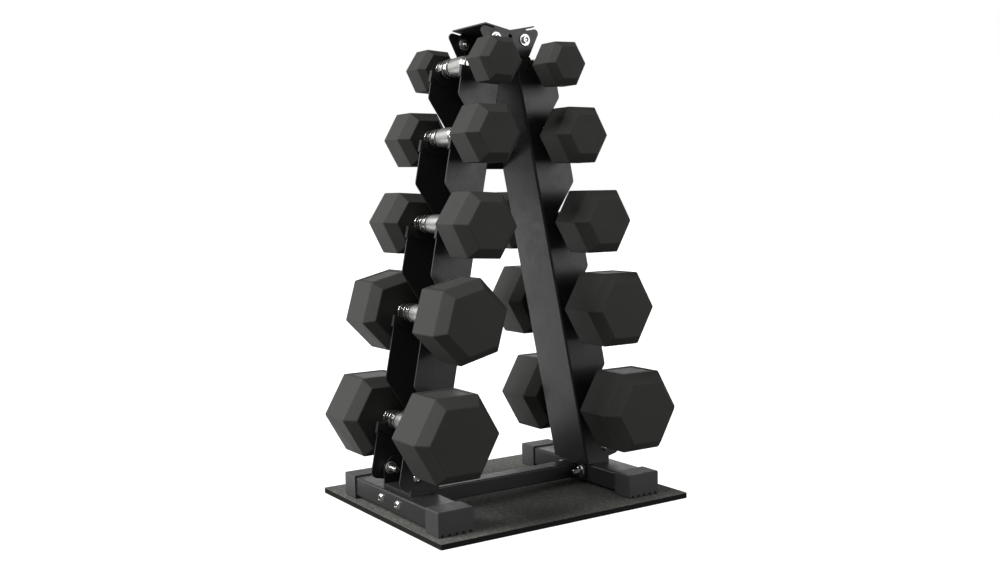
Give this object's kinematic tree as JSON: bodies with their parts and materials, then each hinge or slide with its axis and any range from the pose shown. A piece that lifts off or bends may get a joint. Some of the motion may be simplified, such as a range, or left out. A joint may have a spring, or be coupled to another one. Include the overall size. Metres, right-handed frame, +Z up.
{
  "type": "dumbbell rack",
  "caption": "A-frame rack of folded steel with hex dumbbells cradled in saddle notches down both sloping sides, on steel feet and a rubber floor mat.",
  "frame": {"origin": "on the floor under the middle of the A-frame, at the mat's underside", "axes": "+X across the A-frame to the right-hand foot, +Y to the rear along the dumbbell handles, +Z up"},
  "size_m": [0.4401, 0.35, 0.6814],
  "materials": {
    "black_steel": "satin black powder coat",
    "cap_plastic": "matte, moulded",
    "liner_plastic": "matte, moulded",
    "mat_rubber": "matte, faintly speckled",
    "head_rubber": "matte, fine grain",
    "core_iron": "as cast, hidden",
    "handle_chrome": "bright collars, knurled grip",
    "zinc_steel": "bright zinc plate"
  },
  "bodies": {
    "rack": {"cross_tube": "black_steel", "cross_tube_end_plates": "black_steel", "left_foot_bolts": "zinc_steel", "left_foot_bracket": "black_steel", "left_foot_tube": "black_steel", "left_front_foot_cap": "cap_plastic", "left_leg": "black_steel", "left_leg_bolts": "zinc_steel", "left_rear_foot_cap": "cap_plastic", "left_saddle_liners": "liner_plastic", "mat": "mat_rubber", "mid_brace": "black_steel", "mid_brace_bolts": "zinc_steel", "right_foot_bolts": "zinc_steel", "right_foot_bracket": "black_steel", "right_foot_tube": "black_steel", "right_front_foot_cap": "cap_plastic", "right_leg": "black_steel", "right_leg_bolts": "zinc_steel", "right_rear_foot_cap": "cap_plastic", "right_saddle_liners": "liner_plastic", "top_bolts": "zinc_steel", "top_bracket": "black_steel"},
    "left_dumbbell_1": {"left_dumbbell_1_cores": "core_iron", "left_dumbbell_1_handle": "handle_chrome", "left_dumbbell_1_heads": "head_rubber"},
    "left_dumbbell_2": {"left_dumbbell_2_cores": "core_iron", "left_dumbbell_2_handle": "handle_chrome", "left_dumbbell_2_heads": "head_rubber"},
    "left_dumbbell_3": {"left_dumbbell_3_cores": "core_iron", "left_dumbbell_3_handle": "handle_chrome", "left_dumbbell_3_heads": "head_rubber"},
    "left_dumbbell_4": {"left_dumbbell_4_cores": "core_iron", "left_dumbbell_4_handle": "handle_chrome", "left_dumbbell_4_heads": "head_rubber"},
    "left_dumbbell_5": {"left_dumbbell_5_cores": "core_iron", "left_dumbbell_5_handle": "handle_chrome", "left_dumbbell_5_heads": "head_rubber"},
    "right_dumbbell_1": {"right_dumbbell_1_cores": "core_iron", "right_dumbbell_1_handle": "handle_chrome", "right_dumbbell_1_heads": "head_rubber"},
    "right_dumbbell_2": {"right_dumbbell_2_cores": "core_iron", "right_dumbbell_2_handle": "handle_chrome", "right_dumbbell_2_heads": "head_rubber"},
    "right_dumbbell_3": {"right_dumbbell_3_cores": "core_iron", "right_dumbbell_3_handle": "handle_chrome", "right_dumbbell_3_heads": "head_rubber"},
    "right_dumbbell_4": {"right_dumbbell_4_cores": "core_iron", "right_dumbbell_4_handle": "handle_chrome", "right_dumbbell_4_heads": "head_rubber"},
    "right_dumbbell_5": {"right_dumbbell_5_cores": "core_iron", "right_dumbbell_5_handle": "handle_chrome", "right_dumbbell_5_heads": "head_rubber"}
  },
  "joints": [
    {"name": "left_dumbbell_1_lift", "type": "slide", "parent": "rack", "child": "left_dumbbell_1", "axis": [-0.4492, 0, 0.8935], "range_m": [0, 0.024]},
    {"name": "left_dumbbell_2_lift", "type": "slide", "parent": "rack", "child": "left_dumbbell_2", "axis": [-0.4492, 0, 0.8935], "range_m": [0, 0.024]},
    {"name": "left_dumbbell_3_lift", "type": "slide", "parent": "rack", "child": "left_dumbbell_3", "axis": [-0.4492, 0, 0.8935], "range_m": [0, 0.024]},
    {"name": "left_dumbbell_4_lift", "type": "slide", "parent": "rack", "child": "left_dumbbell_4", "axis": [-0.4492, 0, 0.8935], "range_m": [0, 0.024]},
    {"name": "left_dumbbell_5_lift", "type": "slide", "parent": "rack", "child": "left_dumbbell_5", "axis": [-0.4492, 0, 0.8935], "range_m": [0, 0.024]},
    {"name": "right_dumbbell_1_lift", "type": "slide", "parent": "rack", "child": "right_dumbbell_1", "axis": [0.4492, 0, 0.8935], "range_m": [0, 0.024]},
    {"name": "right_dumbbell_2_lift", "type": "slide", "parent": "rack", "child": "right_dumbbell_2", "axis": [0.4492, 0, 0.8935], "range_m": [0, 0.024]},
    {"name": "right_dumbbell_3_lift", "type": "slide", "parent": "rack", "child": "right_dumbbell_3", "axis": [0.4492, 0, 0.8935], "range_m": [0, 0.024]},
    {"name": "right_dumbbell_4_lift", "type": "slide", "parent": "rack", "child": "right_dumbbell_4", "axis": [0.4492, 0, 0.8935], "range_m": [0, 0.024]},
    {"name": "right_dumbbell_5_lift", "type": "slide", "parent": "rack", "child": "right_dumbbell_5", "axis": [0.4492, 0, 0.8935], "range_m": [0, 0.024]}
  ]
}
